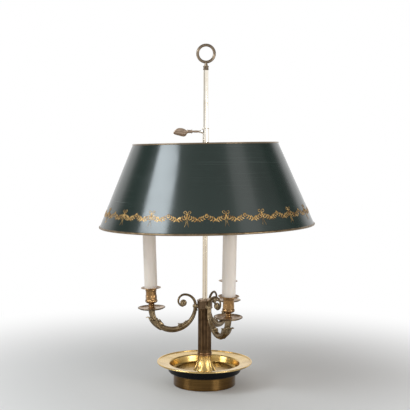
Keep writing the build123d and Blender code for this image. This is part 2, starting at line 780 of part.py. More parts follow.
on_candle = {
    "drip_pan": drip_pan(),
    "candle_cup": candle_cup(),
    "holder_nipple": holder_nipple(),
    "lampholder": lampholder(),
    "candle_sleeve": candle_sleeve(),
    "bulb_cap": bulb_cap(),
    "bulb_glass": bulb_glass(),
}
stud = arm_stud()
for side, azimuth in arm_azimuths.items():
    nodes[f"arm_{side}"] = turned_to(arm(volute_turns[side]), azimuth)
    nodes[f"lamp_lead_{side}"] = turned_to(lead, azimuth)
    for name, part in on_candle.items():
        nodes[f"{name}_{side}"] = turned_to(at_candle(part), azimuth)
nodes["arm_studs"] = Compound([turned_to(stud, azimuth) for azimuth in arm_azimuths.values()])

os.makedirs("parts", exist_ok=True)
for name, part in nodes.items():
    export_step(part, f"parts/{name}.step")
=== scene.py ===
import json
from math import atan2, cos, degrees, exp, hypot, pi, radians, sin

import bpy
from mathutils import Matrix, Vector


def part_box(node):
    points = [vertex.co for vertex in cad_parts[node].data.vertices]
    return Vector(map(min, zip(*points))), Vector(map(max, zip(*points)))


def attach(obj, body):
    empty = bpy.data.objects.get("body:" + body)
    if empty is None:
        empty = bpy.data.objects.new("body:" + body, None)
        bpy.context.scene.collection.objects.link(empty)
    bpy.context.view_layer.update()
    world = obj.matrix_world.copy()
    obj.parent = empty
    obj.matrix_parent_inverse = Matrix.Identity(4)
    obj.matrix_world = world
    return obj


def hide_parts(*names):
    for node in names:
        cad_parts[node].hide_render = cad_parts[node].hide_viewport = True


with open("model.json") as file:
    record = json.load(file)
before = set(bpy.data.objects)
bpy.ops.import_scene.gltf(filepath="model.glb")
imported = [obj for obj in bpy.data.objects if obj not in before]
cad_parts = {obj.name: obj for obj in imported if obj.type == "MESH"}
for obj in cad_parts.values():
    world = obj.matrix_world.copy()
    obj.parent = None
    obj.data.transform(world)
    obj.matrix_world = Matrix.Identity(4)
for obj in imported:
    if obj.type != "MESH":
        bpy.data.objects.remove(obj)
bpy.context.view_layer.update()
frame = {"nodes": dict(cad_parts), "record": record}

MM = 0.001
sides = ("left", "front", "back")


# ---- places taken from the frame, in mm
def lowest(node):
    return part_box(node)[0] / MM


def highest(node):
    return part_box(node)[1] / MM


def middle(node):
    return (lowest(node) + highest(node)) / 2


def azimuth_of(node):
    """Degrees from +X round the lamp's axis."""
    return degrees(atan2(middle(node).y, middle(node).x))


stud_height = middle("arm_studs").z
hub_middle = middle("shade_spider").z
carrier_foot, carrier_top = lowest("carrier_sleeve").z, highest("carrier_sleeve").z
rod_foot, rod_top = lowest("shade_rod").z, highest("shade_rod").z
capital_top = highest("column_capital").z
key_reach = -lowest("shade_key").x
arm_azimuths = {side: azimuth_of(f"drip_pan_{side}") for side in sides}

# ---- sizes of the castings, in mm
candle_lean = 2.0  # degrees, outward
arm_root = 17.5  # distance of the arms' roots from the axis
inner_bend, outer_bend = 44.0, 37.0  # radii of an arm's two turns, each about a quarter
arm_neck = 3.4  # straight end below the drip pan
root_tube, belly_tube, tip_tube = 3.1, 5.2, 4.6
volute_base = stud_height + 2.0
inner_centre = (arm_root + inner_bend, volute_base - 2.5)
arm_low = inner_centre[1] - inner_bend
outer_centre = (inner_centre[0], arm_low + outer_bend)
volute_radii = (19.3, 12.3, 9.5)  # of its three arcs, from the root on
volute_tubes = (2.6, 2.0, 1.7, 1.5)  # radii of the bar at the ends of those arcs
volute_turns = {"left": 0.0, "front": 17.0, "back": 0.0}  # degrees that a volute is bent sideways
button_radius = 6.2
boss_pad = 13.3  # distance of the arms' bosses' feet from the axis
shade_top_radius, shade_bottom_radius = 133.0, 196.4
shade_height, shade_drop = 148.4, 134.6  # of the sheet, and of its lower edge below the spider
hang_tilt = 1.3  # degrees that the shade leans to the left
rod_radius, spigot_radius = 4.7, 3.0
carrier_radius, carrier_bore = 5.9, 4.8
shoulder_radius, shoulder_height = 10.5, 4.5
# below this reach from the carrier's foot the rod is painted darker, as shade under the lampshade
painted_shade_reach = 90.0  # from the carrier's foot down to where the rod is dull
key_height = carrier_top - 6.2
key_block_end = 34.0  # distance from the lamp's axis, along the key

lean_cos, lean_sin = cos(radians(candle_lean)), sin(radians(candle_lean))
outer_end = (outer_centre[0] + outer_bend * lean_cos, outer_centre[1] - outer_bend * lean_sin)
tip_place = (outer_end[0] + arm_neck * lean_sin, outer_end[1] + arm_neck * lean_cos)


# ---- shapes
class Shape:
    """Points in millimetres and the faces between them, gathered piece by piece."""

    def __init__(self):
        self.points, self.faces = [], []

    def add(self, points, faces):
        first = len(self.points)
        self.points += [Vector(p) for p in points]
        self.faces += [tuple(first + index for index in face) for face in faces]

    def grid(self, rows, ring=True, caps=False):
        """Skin over rows of points; ring joins each row's last point to its first."""
        width = len(rows[0])
        last = width if ring else width - 1
        faces = []
        for row in range(len(rows) - 1):
            for column in range(last):
                after = (column + 1) % width
                a, b = row * width, (row + 1) * width
                faces.append((a + column, a + after, b + after, b + column))
        if caps:
            end = (len(rows) - 1) * width
            faces += [tuple(reversed(range(width))), tuple(range(end, end + width))]
        self.add([p for row in rows for p in row], faces)

    def moved(self, matrix):
        self.points = [matrix @ p for p in self.points]
        return self

    def join(self, other):
        self.add(other.points, other.faces)


def placed(name, data):
    thing = bpy.data.objects.new(name, data)
    bpy.context.collection.objects.link(thing)
    return thing


def new_piece(name, shape, slot, body, finish=None, sharp=None):
    """A Blender object from a shape, riding on a body, with a slot's finish or its own."""
    mesh = bpy.data.meshes.new(name)
    mesh.from_pydata([p * MM for p in shape.points], [], shape.faces)
    mesh.update()
    mesh.shade_smooth()
    if sharp:
        mesh.set_sharp_from_angle(angle=radians(sharp))
    piece = placed(name, mesh)
    mesh.materials.append((finish or slot_finishes[slot]).material)
    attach(piece, body)
    return piece


def smooth_step(value, start, end):
    """0 before start, 1 after end, smooth between."""
    share = min(max((value - start) / (end - start), 0.0), 1.0)
    return share * share * (3 - 2 * share)


def hump(value, centre, width):
    """Bell of height 1."""
    return exp(-((value - centre) / width) ** 2)


def turned_z(degrees_round):
    return Matrix.Rotation(radians(degrees_round), 4, "Z")


def ring_angles(count):
    return [2 * pi * index / count for index in range(count)]


def lathe(profile, segments, relief=None):
    """Turned shape about Z; relief(radius, height, angle) may change each point's radius."""
    shape = Shape()
    rows = []
    for radius, height in profile:
        row = []
        for angle in ring_angles(segments):
            grown = relief(radius, height, angle) if relief else radius
            row.append((grown * cos(angle), grown * sin(angle), height))
        rows.append(row)
    shape.grid(rows)
    return shape


def curve_profile(points, steps):
    """Catmull-Rom line through points of two or more numbers each."""
    line = []
    for index in range(len(points) - 1):
        p0 = points[max(index - 1, 0)]
        p1, p2 = points[index], points[index + 1]
        p3 = points[min(index + 2, len(points) - 1)]
        for step in range(steps):
            t = step / steps
            line.append(tuple(
                0.5 * (2 * b + (c - a) * t + (2 * a - 5 * b + 4 * c - d) * t * t
                       + (3 * b - a - 3 * c + d) * t ** 3)
                for a, b, c, d in zip(p0, p1, p2, p3)))
    line.append(points[-1])
    return line


# ---- shader nodes
def colour(red, green, blue):
    """Linear colour from its 0-255 values on screen."""
    def linear(value):
        share = value / 255
        return share / 12.92 if share <= 0.04045 else ((share + 0.055) / 1.055) ** 2.4
    return (linear(red), linear(green), linear(blue), 1.0)


class Graph:
    """Short forms for the nodes of one shader tree."""

    def __init__(self, tree):
        self.tree = tree

    def node(self, kind, **settings):
        node = self.tree.nodes.new("ShaderNode" + kind)
        for name, value in settings.items():
            setattr(node, name, value)
        return node

    def put(self, node, socket, value):
        """A socket's value, or a link where the value is another node's output."""
        if isinstance(value, bpy.types.NodeSocket):
            self.tree.links.new(value, node.inputs[socket])
        else:
            node.inputs[socket].default_value = value

    def math(self, operation, first, second=0.0):
        node = self.node("Math", operation=operation)
        self.put(node, 0, first)
        self.put(node, 1, second)
        return node.outputs["Value"]

    def vector_math(self, operation, first, second=None):
        node = self.node("VectorMath", operation=operation)
        self.put(node, 0, first)
        if second is not None:
            self.put(node, 1, second)
        return node.outputs["Value" if operation in ("DOT_PRODUCT", "LENGTH", "DISTANCE") else "Vector"]

    def remap(self, value, low, high, new_low=0.0, new_high=1.0, smooth=False):
        node = self.node("MapRange", interpolation_type="SMOOTHSTEP" if smooth else "LINEAR")
        self.put(node, "Value", value)
        for socket, number in (("From Min", low), ("From Max", high), ("To Min", new_low),
                               ("To Max", new_high)):
            self.put(node, socket, number)
        return node.outputs["Result"]

    def blend(self, share, first, second):
        """Colour between first and second."""
        node = self.node("Mix", data_type="RGBA")
        self.put(node, 0, share)
        self.put(node, 6, first)
        self.put(node, 7, second)
        return node.outputs[2]

    def between(self, share, first, second):
        """Number between first and second."""
        node = self.node("Mix")
        self.put(node, 0, share)
        self.put(node, 2, first)
        self.put(node, 3, second)
        return node.outputs[0]

    def levels(self, value, stops):
        """Grey level along stops of (place from 0 to 1, level)."""
        ramp = self.node("ValToRGB")
        self.put(ramp, "Fac", value)
        elements = ramp.color_ramp.elements
        while len(elements) < len(stops):
            elements.new(0.5)
        for element, (place, level) in zip(elements, sorted(stops)):
            element.position = place
            element.color = (level, level, level, 1)
        return ramp.outputs["Color"]

    def seen_rays(self, *kinds):
        """1 for rays of the kinds named, else 0."""
        path = self.node("LightPath")
        share = path.outputs[kinds[0]]
        for kind in kinds[1:]:
            share = self.math("MAXIMUM", share, path.outputs[kind])
        return share


class Finish(Graph):
    """A material with one Principled shader and the nodes that feed it."""

    def __init__(self, name, metallic=0.0, roughness=0.5):
        self.material = bpy.data.materials.new(name)
        self.material.use_nodes = True
        super().__init__(self.material.node_tree)
        self.shader = self.tree.nodes["Principled BSDF"]
        self.feed("Metallic", metallic)
        self.feed("Roughness", roughness)
        coordinates = self.node("TexCoord")
        self.place, self.normal = coordinates.outputs["Object"], coordinates.outputs["Normal"]
        self.base = self.bump_normal = None

    def feed(self, socket, value):
        self.put(self.shader, socket, value)

    def paint(self, output):
        self.base = output
        self.feed("Base Color", output)

    def rough(self, value, low, high, start, end):
        """Roughness from start to end as a value goes from low to high."""
        self.feed("Roughness", self.remap(value, low, high, start, end))

    def mottled(self, value, low, high, first, second):
        """Blend of two screen colours as a value goes from low to high."""
        return self.blend(self.remap(value, low, high), colour(*first), colour(*second))

    def scaled(self, x, y, z):
        return self.vector_math("MULTIPLY", self.place, (x, y, z))

    def noise(self, scale, detail=3.0, vector=None):
        node = self.node("TexNoise")
        self.put(node, "Vector", vector or self.place)
        self.put(node, "Scale", scale)
        self.put(node, "Detail", detail)
        self.put(node, "Roughness", 0.55)
        return node.outputs["Fac"]

    def convexity(self, low=0.5, high=0.57):
        """0 in hollows to 1 on edges, or the reverse where high is below low."""
        return self.remap(self.node("NewGeometry").outputs["Pointiness"], low, high)

    def radius(self):
        """Distance from the lamp's axis, in metres."""
        return self.vector_math("LENGTH", self.scaled(1, 1, 0))

    def part(self, vector, axis):
        node = self.node("SeparateXYZ")
        self.put(node, "Vector", vector)
        return node.outputs[axis]

    def height(self):
        return self.part(self.place, "Z")

    def spin_place(self, lines):
        """Coordinates whose noise runs in rings about the lamp's axis, so many lines a metre."""
        join = self.node("CombineXYZ")
        self.put(join, "X", self.math("MULTIPLY", self.radius(), lines))
        self.put(join, "Y", self.math("MULTIPLY", self.height(), lines))
        return join.outputs["Vector"]

    def bump(self, height, strength, distance):
        node = self.node("Bump")
        self.put(node, "Strength", strength)
        self.put(node, "Distance", distance)
        self.put(node, "Height", height)
        if self.bump_normal:
            self.put(node, "Normal", self.bump_normal)
        self.bump_normal = node.outputs["Normal"]
        self.feed("Normal", self.bump_normal)


# ---- finishes
# Noise scales count waves in a metre; bumps are in metres; colours are 0-255 values on screen.
mottle_scale, wear_scale, casting_grain, turning_lines = 120, 60, 700, 4000
fine_bump, coarse_bump = 0.0001, 0.0002


def patina(name, hollow, body, worn, roughness, wear=1.0):
    """Bronze with dark hollows, a mottled body colour and rubbed edges."""
    finish = Finish(name, metallic=1.0)
    hollow = colour(*hollow)
    mottle = finish.noise(mottle_scale, 5.0)
    base = finish.blend(finish.remap(mottle, 0.3, 0.6, 0.3, 1.0), hollow, colour(*body))
    deep = finish.convexity(0.5, 0.44)
    base = finish.blend(finish.math("MULTIPLY", deep, 0.8), base, hollow)
    edges = finish.math("MULTIPLY", finish.convexity(),
                        finish.remap(finish.noise(wear_scale), 0.35, 0.6, 0.0, wear))
    finish.paint(finish.blend(edges, base, colour(*worn)))
    finish.rough(mottle, 0.3, 0.7, roughness + 0.1, roughness - 0.1)
    finish.bump(finish.noise(casting_grain), 0.1, coarse_bump)
    return finish


def polished_brass(name, base, tarnish, roughness):
    """Polished brass with faint turning lines and light tarnish."""
    finish = Finish(name, metallic=1.0)
    tarnished = finish.remap(finish.noise(28, 5.0), 0.42, 0.72, 0.0, 0.8)
    finish.paint(finish.blend(tarnished, colour(*base), colour(*tarnish)))
    rings = finish.noise(1.0, 2.0, finish.spin_place(turning_lines))
    finish.rough(rings, 0.3, 0.7, roughness - 0.04, roughness + 0.07)
    finish.bump(rings, 0.12, fine_bump)
    return finish


def dish_brass():
    """Polished brass of the dish, painted paler on its flange as light and darker in its well as shade.
    """
    well_end, flange_start = 0.063, 0.067  # radii, in metres
    finish = polished_brass("dish_brass", (190, 160, 96), (158, 124, 68), 0.2)
    # painted light and shade: the flange gets a paler brass as if lit, the well a darker one as if
    # shaded
    painted_lit_flange = finish.mottled(finish.noise(40, 4.0), 0.4, 0.7, (224, 194, 132), (196, 162, 98))
    outward = finish.remap(finish.radius(), well_end, flange_start)
    finish.paint(finish.blend(outward, finish.base, painted_lit_flange))
    return finish


def brushed_brass():
    """Satin brass of the foot, brushed round its axis, with random dark stains and a painted contact
    shadow darkening it towards its lower edge.
    """
    shadow_top, shadow_foot = 0.0035, 0.0008  # heights, in metres
    finish = Finish("satin_brass", metallic=1.0)
    rings = finish.noise(1.0, 3.0, finish.spin_place(2200))
    stain = finish.noise(35, 4.0)
    # the brass is painted dark, standing in for the dark surroundings it reflects
    base = finish.mottled(rings, 0.35, 0.65, (82, 60, 32), (124, 96, 56))
    # painted contact shadow: darker towards the foot's lower edge, where it meets the floor
    low = finish.math("MULTIPLY", finish.remap(finish.height(), shadow_top, shadow_foot), 0.7)
    # random stains and the painted shadow, both darkened with one colour
    stains_and_shadow = finish.math("MAXIMUM", finish.remap(stain, 0.5, 0.8, 0.0, 0.6), low)
    finish.paint(finish.blend(stains_and_shadow, base, colour(84, 60, 32)))
    finish.rough(rings, 0.3, 0.7, 0.3, 0.36)
    finish.feed("Anisotropic", 0.95)
    finish.feed("Anisotropic Rotation", 0.25)
    tangent = finish.node("Tangent", direction_type="RADIAL", axis="Z")
    finish.feed("Tangent", tangent.outputs["Tangent"])
    finish.bump(rings, 0.25, fine_bump)
    return finish


def rod_brass():
    """Pale polished brass, painted darker low down as shade under the lampshade."""
    shaded_below, fade = (carrier_foot - painted_shade_reach) * MM, 0.03
    finish = Finish("rod_brass", metallic=1.0)
    lines = finish.noise(1.0, 2.0, finish.scaled(2500, 2500, 12))
    base = finish.mottled(finish.noise(70, 4.0), 0.45, 0.8, (246, 240, 228), (232, 220, 200))
    # painted shade: the rod's lower part is blended towards a darker colour
    painted_rod_shade = finish.remap(finish.height(), shaded_below + fade, shaded_below, 0.0, 0.85)
    finish.paint(finish.blend(painted_rod_shade, base, colour(208, 194, 172)))
    finish.rough(lines, 0.3, 0.7, 0.09, 0.14)
    finish.bump(lines, 0.02, fine_bump)
    return finish


def black_lacquer():
    """Black lacquer of the bowl under the dish, slightly blue and dulled by dust."""
    finish = Finish("black_lacquer")
    cloud = finish.noise(30, 4.0)
    finish.paint(finish.mottled(cloud, 0.35, 0.7, (5, 5, 8), (9, 9, 13)))
    finish.rough(cloud, 0.35, 0.75, 0.24, 0.36)
    finish.feed("Specular IOR Level", 0.14)
    finish.bump(finish.noise(160, 2.0), 0.03, 0.0004)
    return finish


def shade_lacquer():
    """Dark green lacquer outside, with fine scratches round the shade, and dull gold paint inside."""
    finish = Finish("green_lacquer")
    scratch_lines = 1300
    outward = finish.vector_math("DOT_PRODUCT", finish.normal, finish.scaled(1, 1, 0))
    outside = finish.math("GREATER_THAN", outward, 0.0)
    threads = finish.remap(finish.noise(1.0, 2.0, finish.scaled(5, 5, scratch_lines)), 0.62, 0.74)
    scratches = finish.math("MULTIPLY", threads, finish.remap(finish.noise(8, 2.0), 0.5, 0.62))
    green = finish.mottled(finish.noise(9, 4.0), 0.35, 0.7, (30, 44, 39), (24, 37, 32))
    green = finish.blend(finish.math("MULTIPLY", scratches, 0.25), green, colour(120, 130, 126))
    strokes = finish.noise(45, 5.0, finish.scaled(1, 1, 0.3))
    gold = finish.mottled(strokes, 0.35, 0.65, (206, 186, 152), (176, 152, 114))
    finish.paint(finish.blend(outside, gold, green))
    gloss = finish.remap(finish.noise(25, 4.0), 0.35, 0.75, 0.15, 0.21)
    gloss = finish.math("ADD", gloss, finish.math("MULTIPLY", scratches, 0.12))
    finish.feed("Roughness", finish.between(outside, 0.55, gloss))
    finish.feed("Specular IOR Level", 0.65)
    finish.bump(finish.noise(110, 2.0), 0.03, 0.0004)
    return finish


def gold_paint():
    """Transfer-printed gold of the garland."""
    finish = Finish("garland_gold", metallic=0.7)
    wear = finish.noise(200, 5.0)
    gold = finish.mottled(wear, 0.3, 0.5, (226, 188, 128), (190, 150, 86))
    finish.paint(finish.blend(finish.remap(wear, 0.5, 0.62), gold, colour(122, 84, 44)))
    finish.rough(wear, 0.3, 0.7, 0.34, 0.55)
    finish.bump(finish.noise(1500, 2.0), 0.2, fine_bump)
    return finish


def ivory():
    """Ivory plastic of the candle covers, faintly streaked."""
    finish = Finish("ivory_sleeve")
    streaks = finish.noise(1.0, 4.0, finish.scaled(160, 160, 14))
    finish.paint(finish.mottled(streaks, 0.35, 0.7, (222, 213, 204), (213, 203, 191)))
    finish.rough(finish.noise(90, 4.0), 0.35, 0.7, 0.36, 0.5)
    finish.feed("Subsurface Weight", 0.12)
    finish.feed("Subsurface Radius", (0.004, 0.003, 0.002))
    finish.bump(finish.noise(500, 2.0), 0.05, coarse_bump)
    return finish


def opal():
    """Opal glass of the bulbs, glossy outside."""
    finish = Finish("opal_glass", roughness=0.12)
    finish.paint(finish.mottled(finish.noise(50), 0.35, 0.7, (244, 241, 232), (234, 229, 216)))
    finish.feed("Coat Weight", 0.6)
    return finish


def pan_gilt(side):
    """A drip pan: bronze, painted paler on its upward faces as light from above, and left darker below
    and round the edge.
    """
    rim_start, rim_end = 0.0026, 0.0012  # of the dark edge, inward from the rim, in metres
    finish = patina(f"pan_gilt_{side}", (78, 64, 46), (116, 98, 74), (170, 148, 116), 0.34)
    # painted light: the paler colour that the pan's upward faces get
    top = finish.mottled(finish.noise(80, 4.0), 0.35, 0.7, (212, 193, 174), (182, 160, 138))
    node = f"drip_pan_{side}"
    from_middle = finish.vector_math("DISTANCE", finish.place, middle(node) * MM)
    edge = (highest(node).z - lowest(node).z) / 2
    reach = hypot(highest(node).x - middle(node).x, edge) * MM
    inside = finish.remap(from_middle, reach - rim_end, reach - rim_start)
    # painted light: upward faces inside the rim turn paler
    up = finish.math("MULTIPLY", inside, finish.remap(finish.part(finish.normal, "Z"), 0.4, 0.7))
    finish.paint(finish.blend(up, finish.base, top))
    return finish


def capital_bronze():
    """The column's bronze, with a painted highlight on the plate at the capital's top."""
    plate_start, plate_full = 2.4, 1.4  # below the top, in mm
    finish = patina("capital_bronze", (76, 60, 44), (122, 99, 76), (178, 154, 128), 0.36)
    # painted highlight on the capital's top plate
    painted_plate_highlight = finish.remap(finish.height(), (capital_top - plate_start) * MM,
                         (capital_top - plate_full) * MM, 0.0, 0.8)
    finish.paint(finish.blend(painted_plate_highlight, finish.base, colour(176, 154, 130)))
    return finish


def plain(name, first, second, metallic, rough, scale=200, depth=coarse_bump):
    """Mottled finish for hidden and small pieces."""
    finish = Finish(name, metallic=metallic)
    grain = finish.noise(scale, 4.0)
    finish.paint(finish.mottled(grain, 0.35, 0.65, first, second))
    finish.rough(grain, 0.3, 0.7, rough - 0.08, rough + 0.08)
    finish.bump(grain, 0.25, depth)
    return finish


bronzes = {  # slot: colours of hollows, body and worn edges, roughness, wear
    "column_bronze": ((60, 45, 30), (86, 66, 45), (124, 100, 74), 0.46, 0.4),
    "ring_bronze": ((104, 91, 77), (130, 115, 98), (170, 154, 134), 0.34, 0.3),
    "key_bronze": ((112, 94, 80), (176, 154, 134), (214, 195, 174), 0.4),
    "arm_bronze": ((72, 58, 40), (150, 129, 98), (212, 193, 158), 0.32),
    "cup_gilt": ((90, 65, 40), (152, 117, 76), (208, 174, 130), 0.26),
    "bead_brass": ((84, 68, 50), (128, 108, 82), (178, 158, 128), 0.36),
}
plain_slots = {  # slot: two colours, metallic, roughness, then the grain's scale and depth
    "felt": ((52, 78, 60), (38, 60, 46), 0.0, 0.92, 1500, 0.0006),
    "steel": ((190, 188, 180), (160, 160, 155), 1.0, 0.3),
    "iron": ((84, 84, 88), (60, 60, 64), 0.6, 0.7),
    "black_bush": ((34, 34, 36), (26, 26, 28), 0.0, 0.5, 700),
    "porcelain": ((228, 226, 216), (214, 211, 200), 0.0, 0.25, 60),
    "lead_sheath": ((206, 190, 150), (190, 172, 132), 0.0, 0.4),
    "holder_black": ((30, 28, 28), (22, 20, 20), 0.0, 0.35, 500),
    "cap_nickel": ((206, 200, 188), (180, 176, 164), 1.0, 0.25),
}
slot_finishes = {
    "satin_brass": brushed_brass(), "rod_brass": rod_brass(), "black_lacquer": black_lacquer(),
    "green_lacquer": shade_lacquer(), "ivory_sleeve": ivory(), "opal_glass": opal(),
    "polished_brass": polished_brass("polished_brass", (208, 176, 112), (176, 140, 82), 0.2),
    **{slot: patina(slot, *values) for slot, values in bronzes.items()},
    **{slot: plain(slot, *values) for slot, values in plain_slots.items()},
}
node_finishes = {
    "drip_dish": dish_brass(), "column_capital": capital_bronze(),
    "column_collar": patina("collar_copper", (92, 68, 46), (140, 106, 74), (206, 168, 130), 0.34),
    # the top bead's brass is painted dark, standing in for the dark lacquer it reflects
    "shade_top_bead": polished_brass("top_bead", (140, 122, 100), (98, 80, 60), 0.18),
    **{f"drip_pan_{side}": pan_gilt(side) for side in sides},
}
garland_gold = gold_paint()


def dress_nodes():
    """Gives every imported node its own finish, or the one of its material slot."""
    for part in frame["record"]["subparts"]:
        finish = node_finishes.get(part["node"], slot_finishes[part["material_slot"]])
        mesh = frame["nodes"][part["node"]].data
        mesh.materials.clear()
        mesh.materials.append(finish.material)


# ---- arms
def arc_stations(centre, radius, start, end, count, first, last):
    """Stations along an arc: (x, z, tangent x, tangent z, a number that goes from first to last)."""
    stations = []
    way = 1 if end > start else -1
    for index in range(count + 1):
        share = index / count
        angle = radians(start + (end - start) * share)
        stations.append((centre[0] + radius * cos(angle), centre[1] + radius * sin(angle),
                         -sin(angle) * way, cos(angle) * way,
                         first + (last - first) * share))
    return stations


def arm_line():
    """Stations along an arm that points to +X, each with its distance from the root."""
    inner_count, outer_count, neck_count = 110, 120, 8
    line = arc_stations(inner_centre, inner_bend, 180, 270, inner_count, 0.0, inner_length)[:-1]
    line += arc_stations(outer_centre, outer_bend, -90, -candle_lean, outer_count, inner_length,
                         arm_length - arm_neck)
    x, z, tx, tz, run = line[-1]
    steps = [arm_neck * (index + 1) / neck_count for index in range(neck_count)]
    return line + [(x + tx * step, z + tz * step, tx, tz, run + step) for step in steps]


inner_length = inner_bend * pi / 2
arm_length = inner_length + outer_bend * (pi / 2 - radians(candle_lean)) + arm_neck
sheath_leaves = 6


def mouth_at(turn):
    """Distance of the sheath's mouth below the pan, longer inside the bend."""
    mean, slope = 21.5, 6.4
    return mean + slope * cos(turn)


def bar_radius(run, turn):
    """Radius of the fluted bar under the leaves."""
    flutes, flute_height = 8, 0.28
    if run < inner_length:
        radius = root_tube + (belly_tube - root_tube) * smooth_step(run, 0, inner_length)
    else:
        radius = belly_tube + (tip_tube - belly_tube) * smooth_step(run, inner_length, arm_length)
    return radius + flute_height * cos(flutes * turn)


def sheath_height(back, turn):
    """Height of the leaf sheath over the bar, at a distance back from the pan."""
    reach, notch, taper = 44.0, 6.0, 3.0  # its length, half the cuts' depth, and its thin edge
    rise, most_swell, leaf_wave, vein_wave = 0.5, 2.4, 0.5, 0.2
    midrib, midrib_width = 0.35, 0.12
    wave = cos(sheath_leaves * turn)
    edge = reach - notch * (1 - wave)
    swell = most_swell * smooth_step(reach - back, 0.0, reach - mouth_at(turn))
    veins = (leaf_wave * wave + vein_wave * cos(3 * sheath_leaves * turn)
             + midrib * hump(wave, 1.0, midrib_width))
    return smooth_step(edge - back, 0.0, taper) * (rise + swell + veins)


def acanthus_height(run, turn):
    """Height of the acanthus leaf on the upper side of the bar."""
    start, end, taper = 24.0, 61.0, 6.0
    lobes = ((37.0, 4.6, 1.7), (50.0, 5.2, 2.9), (43.0, 9.0, 1.2))  # place, width, height
    fringe_height, pitch, slant = 0.4, 4.6, 4.4
    spine_depth, spine_width = 0.8, 0.16
    side_edge, side_full = 0.2, 0.85  # cosines of the turn
    swell = sum(height * hump(run, place, width) for place, width, height in lobes)
    fringe = fringe_height * cos(2 * pi * run / pitch + slant * abs(sin(turn)))
    spine = -spine_depth * hump(sin(turn), 0.0, spine_width)
    ends = smooth_step(run, start, start + taper) * smooth_step(end - run, 0, taper)
    return smooth_step(cos(turn), side_edge, side_full) * ends * (swell + fringe + spine)


def arm_radius(run, turn):
    """Radius of the cast arm at a distance along it; turn is 0 on the inside of its bend."""
    root, flare, flutes, flute_height, edge = 4.7, 1.2, 12, 0.36, 0.6  # of the leaf cup at the mouth
    back, mouth = arm_length - run, mouth_at(turn)
    radius = bar_radius(run, turn) + sheath_height(back, turn)
    cup_radius = root + flare * (1 - back / mouth) + flute_height * cos(flutes * turn)
    radius += smooth_step(mouth - back, -edge, edge) * (cup_radius - radius)
    return radius + acanthus_height(run, turn)


def section(x, z, tx, tz, radius_at, segments):
    """Ring of points square to the tangent; angle 0 is on the inside of the bend."""
    ring = []
    for turn in ring_angles(segments):
        radius = radius_at(turn)
        along_normal = radius * cos(turn)
        ring.append((x - tz * along_normal, radius * sin(turn), z + tx * along_normal))
    return ring


def curled_tip(station, turn, root, length, width):
    """Leaf tip that leaves the sheath at a turn round the arm and curls outward."""
    steps = 9
    curl, reach, rise = 0.62 * pi, 0.62, 0.74  # whole bend; shares of the length along and outward
    overlap, thickness, rim, bluntness = 1.5, 1.5, 0.25, 2.2
    x, z, tx, tz = station[:4]
    out = Vector((-tz * cos(turn), sin(turn), tx * cos(turn)))
    along = Vector((tx, 0, tz))
    across = out.cross(along)
    start = Vector((x, 0, z)) + out * root
    rows = []
    for index in range(steps + 1):
        share = index / steps
        bend = share * curl
        centre = (start + along * (length * reach * sin(bend) - overlap)
                  + out * (length * (1 - cos(bend)) * rise))
        half = width * (1 - share ** bluntness) ** 0.5 + rim
        thick = thickness * (1 - 0.5 * share)
        facing = out * cos(bend) - along * sin(bend)
        rows.append([centre + across * (half * cos(angle)) + facing * (thick * sin(angle))
                     for angle in ring_angles(10)])
    shape = Shape()
    shape.grid(rows, caps=True)
    return shape


button_profile = (  # radius, half thickness
    (0.02, 3.1), (1.1, 3.05), (1.7, 2.6), (1.9, 2.0), (2.4, 1.95), (3.4, 2.6), (4.4, 2.5),
    (5.0, 1.7), (5.4, 1.6), (6.0, 1.9), (button_radius, 1.2))


def button():
    """Rosette button at the end of a volute, about Z."""
    ring, spread, depth = 3.9, 1.3, 0.05  # of the petals
    back = [(radius, -height) for radius, height in reversed(button_profile)]

    def petals(radius, _, angle):
        return radius * (1 + depth * hump(radius, ring, spread) * cos(8 * angle))

    return lathe([*button_profile, *back], 32, petals)


def volute():
    """Scroll above the arm that ends in a rosette button."""
    first, second, third = volute_radii
    crown = (arm_root + first, volute_base)
    outer = (crown[0], crown[1] + first - second)
    inner = (outer[0] + second - third, outer[1])
    overlap, root_share = 2.0, 0.96  # of its foot with the arm's root, and of that root's radius
    line = [(arm_root, inner_centre[1] - overlap, 0, 1, root_tube * root_share)]
    line += arc_stations(crown, first, 180, 90, 18, volute_tubes[0], volute_tubes[1])
    line += arc_stations(outer, second, 90, 0, 14, volute_tubes[1], volute_tubes[2])[1:]
    line += arc_stations(inner, third, 0, -90, 12, volute_tubes[2], volute_tubes[3])[1:]
    shape = Shape()
    shape.grid([section(x, z, tx, tz, lambda turn, tube=tube: tube * (1 + 0.06 * cos(4 * turn)), 16)
                for x, z, tx, tz, tube in line], caps=True)
    place = Matrix.Translation((inner[0], 0, inner[1] - third + button_radius))
    shape.join(button().moved(place @ Matrix.Rotation(pi / 2, 4, "X")))
    return shape


boss_profile = (  # radius, height over the capital's flat
    (4.6, 0), (4.6, 0.8), (3.9, 1.2), (3.7, 2.6), (4.4, 3.3), (4.5, 4.8), (3.6, 5.6), (3.2, 6.4),
    (3.0, 7.6), (2.1, 8.9), (0.05, 9.4))


def arm_boss():
    """Turned boss on the capital's flat, with its knob, and a bud below it."""
    knurl_place, knurl_width, knurl_height = 4.1, 0.8, 0.05
    bud_radius, bud_out, bud_drop = 1.9, 1.6, 7.5  # out from the flat, and below the stud

    def knurled(radius, height, angle):
        ridge = hump(height, boss_pad + knurl_place, knurl_width)
        return radius * (1 + knurl_height * ridge * cos(10 * angle))

    outline = [(radius, boss_pad + height) for radius, height in boss_profile]
    boss = lathe(curve_profile(outline, 3), 28, knurled)
    boss.moved(Matrix.Translation((0, 0, stud_height)) @ Matrix.Rotation(pi / 2, 4, "Y"))
    bud = lathe([(bud_radius * sin(pi * step / 10), -bud_radius * cos(pi * step / 10))
                 for step in range(11)], 16)
    boss.join(bud.moved(Matrix.Translation((boss_pad + bud_out, 0, stud_height - bud_drop))))
    return boss


